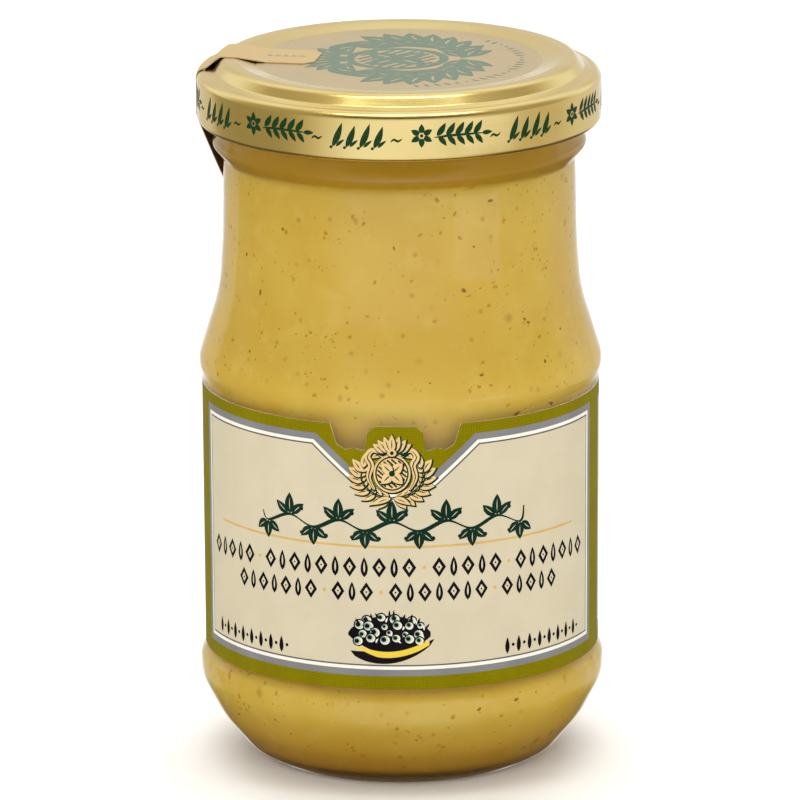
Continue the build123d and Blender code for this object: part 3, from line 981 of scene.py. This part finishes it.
# ---------------------------------------------------------------- print on the lid
def decal(name, polys, wrap, mats, lift, step=1.2):
    """Ink laid on the lid: flat regions wrapped on to its skirt or panel as a very thin closed skin."""
    sh = Sheet()
    for poly, m in polys:
        sh.add(poly, m, step)
    V, F, I = sh.cut()
    n = len(V)
    top_v = [wrap(x, y, lift) for x, y in V]
    low_v = [wrap(x, y, 0.002) for x, y in V]
    seen = {}
    for f in F:
        for a, b in ((f[0], f[1]), (f[1], f[2]), (f[2], f[0])):
            seen[(a, b)] = True
    rim_ = [(a, b) for a, b in seen if (b, a) not in seen]
    faces_ = list(F) + [(n + f[0], n + f[2], n + f[1]) for f in F] + [(a, n + a, n + b, b) for a, b in rim_]
    idx = list(I) + list(I) + [I[0]] * len(rim_)
    ob = new_object(name, np.array(top_v + low_v) * MM, faces_, None, mats, idx, sharp=30)
    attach(ob, "root")
    return ob


def on_skirt(x, y, out_):
    a = x / LID_R
    r = LID_R + out_
    return r * math.sin(a), -r * math.cos(a), y


PERIOD = TAU * LID_R / 7
skirt = []
BASE_Z = 100.60


for rep in range(7):
    x0 = math.radians(-20.3 + 51.4286 * rep) * LID_R
    # four slanting mustard pods, each with a bead at its foot
    for k in range(4):
        x = x0 + 0.7 + k * 2.10
        tall = 4.05 - 0.40 * (k % 2)
        skirt.append((leaf(x, BASE_Z + 0.15, tall, 0.98, 68, bend=-0.10), 0))
        skirt.append((leaf(x + 0.55, BASE_Z + 0.25, 1.75, 0.50, 40, n=6, bend=0.06), 0))
        skirt.append((disc(x - 0.22, BASE_Z + 0.12, 0.24, 9), 0))
    # a small wave
    for cx in (x0 + 10.35, x0 + 25.6):
        for q in stroke([(cx - 0.85, BASE_Z + 1.15), (cx - 0.35, BASE_Z + 1.53), (cx + 0.25, BASE_Z + 1.27),
                         (cx + 0.85, BASE_Z + 1.65)], 0.36, n=5):
            skirt.append((q, 0))
    # a small flower, and a straight branch of paired leaves that runs on from it
    x1 = x0 + 14.1
    for k in range(6):
        t = math.radians(60 * k + 30)
        skirt.append((leaf(x1 + 0.3 * math.cos(t), BASE_Z + 2.05 + 0.3 * math.sin(t), 1.50, 0.90, 60 * k + 30, n=7), 0))
    skirt.append((disc(x1, BASE_Z + 2.05, 0.46, 12), -1))
    skirt.append((disc(x1, BASE_Z + 2.05, 0.27, 10), 0))
    for q in stroke([(x1 + 1.9, BASE_Z + 1.75), (x1 + 5.0, BASE_Z + 1.95), (x1 + 9.6, BASE_Z + 1.95)], 0.40, n=6):
        skirt.append((q, 0))
    for k in range(5):
        x = x1 + 2.3 + k * 1.42
        skirt.append((leaf(x, BASE_Z + 1.95, 2.35, 0.92, 56, bend=-0.08), 0))
        skirt.append((leaf(x + 0.2, BASE_Z + 1.85, 1.95, 0.80, -50, bend=0.08), 0))
    skirt.append((leaf(x1 + 9.3, BASE_Z + 1.95, 1.7, 0.70, 2), 0))
decal("lid_skirt_print", skirt, on_skirt, [lid_ink], 0.012)


def on_panel(x, y, out_):
    return x, y, LID_PANEL + out_


top_print = []
emblem(lambda p, kind: top_print.append((p, 0 if kind in ("leaf", "line") else -1)), -1.0, 0.6, 17.6, turn=90)
for k in range(26):
    a = math.radians(-90 + 8 + k * 5.0)
    r = 18.5
    x, y = r * math.cos(a), r * math.sin(a)
    tall = 1.75 if k % 6 < 4 else 0.9
    if k % 6 == 5:
        top_print.append((disc(x, y, 0.24, 8), 0))
    else:
        top_print.append((leaf(x - tall / 2 * math.cos(a + 0.3), y - tall / 2 * math.sin(a + 0.3), tall, 0.52,
                               math.degrees(a) + 17, n=6), 0))
decal("lid_top_print", top_print, on_panel, [panel_ink], 0.010, step=6)

# ---------------------------------------------------------------- the paper strip over the lid
g = 0.015
STRIP_T, STRIP_TURN, S_FRONT, S_BACK, S_END, CLIP = 0.14, 10.4, 5.5, -3.7, 12.2, 1.5
strip_path = filleted([
    (S_END, LID_PANEL + g, 0.0), (20.0, LID_PANEL + g, 3.0), (24.6, LID_HI + g, 1.2), (27.05, LID_HI + g, 1.3),
    (29.15, 106.26, 1.2), (LID_R + g, 106.22, 1.35), (LID_R + g, LID_LO + 0.7, 1.5), (26.72, 88.3, 3.0),
    (26.85, 81.3, 40.0), (27.37, STRIP_LO, 0.0)], step=0.55, turn=8)
run = np.concatenate([[0], np.cumsum(np.linalg.norm(np.diff(strip_path, axis=0), axis=1))])
d = np.gradient(strip_path, axis=0)
d /= np.linalg.norm(d, axis=1, keepdims=True)
out_n = np.stack([-d[:, 1], d[:, 0]], 1)          # away from the lid and jar
COLS = 18
verts, faces, uvs, index = [], [], [], []
ca, sa = math.cos(math.radians(STRIP_TURN)), math.sin(math.radians(STRIP_TURN))


def strip_point(i, w, side):
    """Row i along the strip, w from its back edge (-3.7) to its front edge (5.5), side 1 outside, 0 inside."""
    r, z = strip_path[i] + out_n[i] * (STRIP_T if side else 0.0)
    bend = min(1.0, max(0.0, (r - 13.0) / 8.0))
    x = -math.sqrt(max(r * r - w * w * bend, 1e-6))
    # the strip follows its path: no lift is added
    s = run[i]
    lift = 0.0
    y = -w
    return x * ca - y * -sa, x * -sa + y * ca, z + lift


rows_n = len(strip_path)
cols = np.linspace(0, 1, COLS + 1)
for side in (0, 1):
    for i in range(rows_n):
        c = max(0.0, CLIP - run[i], CLIP - (run[-1] - run[i]))
        back = 3.9 * min(1.0, max(0.0, (98.0 - strip_path[i][1]) / 9.0))
        lo, hi = S_BACK + c - back, S_FRONT - c - back
        for t in cols:
            verts.append(strip_point(i, lo + (hi - lo) * t, side))
W = COLS + 1
half_v = rows_n * W


def idx_(side, i, j):
    return side * half_v + i * W + j


def uv_(i, j):
    return (run[i], S_BACK + (S_FRONT - S_BACK) * cols[j])


for i in range(rows_n - 1):
    for j in range(COLS):
        faces.append((idx_(1, i, j), idx_(1, i, j + 1), idx_(1, i + 1, j + 1), idx_(1, i + 1, j)))
        uvs += [uv_(i, j), uv_(i, j + 1), uv_(i + 1, j + 1), uv_(i + 1, j)]
        index.append(0)
        faces.append((idx_(0, i, j), idx_(0, i + 1, j), idx_(0, i + 1, j + 1), idx_(0, i, j + 1)))
        uvs += [uv_(i, j), uv_(i + 1, j), uv_(i + 1, j + 1), uv_(i, j + 1)]
        index.append(1)
for j in range(COLS):
    for i, flip in ((0, False), (rows_n - 1, True)):
        q = (idx_(0, i, j), idx_(0, i, j + 1), idx_(1, i, j + 1), idx_(1, i, j))
        faces.append(q[::-1] if flip else q)
        uvs += [uv_(i, j)] * 4
        index.append(0)
for i in range(rows_n - 1):
    for j, flip in ((0, True), (COLS, False)):
        q = (idx_(0, i, j), idx_(0, i + 1, j), idx_(1, i + 1, j), idx_(1, i, j))
        faces.append(q[::-1] if flip else q)
        uvs += [uv_(i, j)] * 4
        index.append(0)
strip = new_object("seal_strip_paper", np.array(verts) * MM, faces, uvs, [kraft.mat, kraft_under.mat], index, sharp=35)
scrawl = []
for k in range(5):
    for q in (leaf(-14.2 - 1.25 * k, -0.75, 1.15, 0.42, 205, n=6), leaf(-14.2 - 1.25 * k, -0.75, 1.15, 0.42, 150, n=6)):
        scrawl.append(([(x * ca - y * -sa, x * -sa + y * ca) for x, y in q], 0))
decal("strip_leaf_print", scrawl, lambda x, y, out_: (x, y, LID_PANEL + g + STRIP_T + out_), [strip_ink], 0.008,
      step=9)
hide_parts("seal_strip")
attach(strip, "root")

# ---------------------------------------------------------------- floor and light
ground = Look("floor_white", Roughness=0.6)
ground.p.inputs["Specular IOR Level"].default_value = 0.2
gn = ground.noise(60.0, 2.0)
ground.set(Base_Color=ground.mix(ground.span(gn, 0.3, 0.7), (0.86, 0.86, 0.855), (0.88, 0.88, 0.875)))
floor = new_object("floor", [(-1.2, -1.2, 0), (1.2, -1.2, 0), (1.2, 1.2, 0), (-1.2, 1.2, 0)], [(0, 1, 2, 3)], None, [ground.mat], smooth=False)


def area(name, where, aim, w, h, watts, tint=(1, 1, 1)):
    light = bpy.data.lights.new(name, "AREA")
    light.shape = "RECTANGLE"
    light.size, light.size_y = w, h
    light.energy = watts
    light.color = tint
    ob = bpy.data.objects.new(name, light)
    ob.location = where
    ob.rotation_euler = (Vector(aim) - Vector(where)).to_track_quat("-Z", "Y").to_euler()
    bpy.context.scene.collection.objects.link(ob)
    return ob


area("key_soft", (0.02, -0.25, 1.03), (0, 0, 0.06), 0.92, 0.32, 3.1)
fill = area("front_fill", (-0.05, -1.30, 0.62), (0, 0, 0.05), 1.3, 0.8, 11.1)
fill.visible_glossy = False
for turn_ in (-80, 80):
    a = math.radians(turn_)
    wing = area("side_fill_" + ("left" if turn_ < 0 else "right"), (1.30 * math.sin(a), -1.30 * math.cos(a), 0.45),
                (0, 0, 0.05), 0.8, 0.7, 5.0)
    wing.visible_glossy = False
back_soft = area("back_table", (0.0, 0.95, 1.25), (0, 0.62, 0.0), 1.6, 0.9, 15.0)
back_soft.visible_glossy = False
floor.visible_glossy = False

# The studio round the jar: bright behind, dark in front above the table, a lit table in front and to the right.
world = bpy.data.worlds.new("studio")
bpy.context.scene.world = world
world.use_nodes = True
wt = world.node_tree
wt.nodes.clear()
wo = wt.nodes.new("ShaderNodeOutputWorld")
bg = wt.nodes.new("ShaderNodeBackground")
tc = wt.nodes.new("ShaderNodeTexCoord")
sep = wt.nodes.new("ShaderNodeSeparateXYZ")
wt.links.new(tc.outputs["Generated"], sep.inputs[0])


def wput(socket, v):
    if hasattr(v, "is_output"):
        wt.links.new(v, socket)
    else:
        socket.default_value = v


def wmath(op, a, b=0.0):
    n = wt.nodes.new("ShaderNodeMath")
    n.operation = op
    wput(n.inputs[0], a)
    wput(n.inputs[1], b)
    return n.outputs[0]


def wmap(value, lo, hi, a=0.0, b=1.0):
    n = wt.nodes.new("ShaderNodeMapRange")
    n.interpolation_type = "SMOOTHSTEP"
    for k, v in (("Value", value), ("From Min", lo), ("From Max", hi), ("To Min", a), ("To Max", b)):
        wput(n.inputs[k], v)
    return n.outputs[0]


def wmix(fac, a, b):
    return wmath("ADD", wmath("MULTIPLY", a, wmath("SUBTRACT", 1.0, fac)), wmath("MULTIPLY", b, fac))


def band(value, lo, hi, soft):
    return wmath("MULTIPLY", wmap(value, lo - soft, lo + soft), wmap(value, hi - soft, hi + soft, 1.0, 0.0))


DEG = 180 / math.pi
side_ = wmath("MULTIPLY", wmath("ARCTAN2", sep.outputs["X"], wmath("MULTIPLY", sep.outputs["Y"], -1.0)), DEG)
rise = wmath("MULTIPLY", wmath("ARCSINE", sep.outputs["Z"]), DEG)
back_ = wmap(wmath("ABSOLUTE", side_), 100.0, 130.0)
right_t = wmix(wmap(side_, 10.0, 60.0), 1.03, 0.62)
right_t = wmix(wmap(side_, 98.0, 124.0), right_t, 0.74)
left_t = wmix(wmap(side_, -76.0, -16.0, 1.0, 0.0), 1.03, 0.36)
left_t = wmix(wmap(side_, -133.0, -127.0, 1.0, 0.0), left_t, 0.70)
table = wmix(wmap(side_, -1.0, 1.0), left_t, right_t)
table = wmix(wmap(wmath("ABSOLUTE", side_), 156.0, 172.0), table, 1.0)
table = wmix(wmap(rise, -74.0, -40.0, 1.0, 0.0), table, 0.14)
steep = wmath("MULTIPLY", wmap(rise, -42.0, -24.0, 1.0, 0.0), wmap(wmath("ABSOLUTE", side_), 45.0, 85.0))
table = wmix(steep, table, 0.10)
low_back = wmath("MULTIPLY", wmap(rise, -27.0, -18.5, 1.0, 0.0), wmap(wmath("ABSOLUTE", side_), 95.0, 125.0))
table = wmix(low_back, table, 0.12)
patch = wmath("MULTIPLY", band(side_, 36.0, 68.0, 2.2), band(rise, -13.6, -7.4, 0.5))
table = wmath("ADD", table, wmath("MULTIPLY", patch, 0.50))
near_front = wmap(wmath("ABSOLUTE", wmath("SUBTRACT", side_, 4.0)), 30.0, 62.0, 1.0, 0.0)
front_wall = wmix(wmap(rise, 20.5, 23.5), 0.72, 0.05)
upper = wmix(near_front, 0.42, front_wall)
upper = wmix(wmap(rise, 36.0, 58.0), upper, 0.55)
rear = wmix(wmap(rise, 26.0, 40.0), wmix(wmap(wmath("ABSOLUTE", side_), 138.0, 152.0), 0.95, 0.70), 0.95)
upper = wmix(back_, upper, rear)
sky = wmix(wmap(rise, 3.0, 8.0), table, upper)
comb = wt.nodes.new("ShaderNodeCombineXYZ")
# what is dark in the studio is warm wood, what is bright is cool white card
for k, (dark, bright) in enumerate(((1.0, 1.0), (0.88, 1.03), (0.60, 1.13))):
    wput(comb.inputs[k], wmath("MULTIPLY", sky, wmap(sky, 0.35, 1.10, dark, bright)))
wt.links.new(comb.outputs[0], bg.inputs["Color"])
# past the table's edge the studio is plain white to the eye
plain_bg = wt.nodes.new("ShaderNodeBackground")
plain_bg.inputs["Color"].default_value = (1.0, 1.0, 1.0, 1.0)
path_ = wt.nodes.new("ShaderNodeLightPath")
choose = wt.nodes.new("ShaderNodeMixShader")
wt.links.new(path_.outputs["Is Camera Ray"], choose.inputs[0])
wt.links.new(bg.outputs[0], choose.inputs[1])
wt.links.new(plain_bg.outputs[0], choose.inputs[2])
wt.links.new(choose.outputs[0], wo.inputs["Surface"])

bpy.context.scene.view_settings.view_transform = "Standard"
bpy.context.scene.view_settings.look = "None"
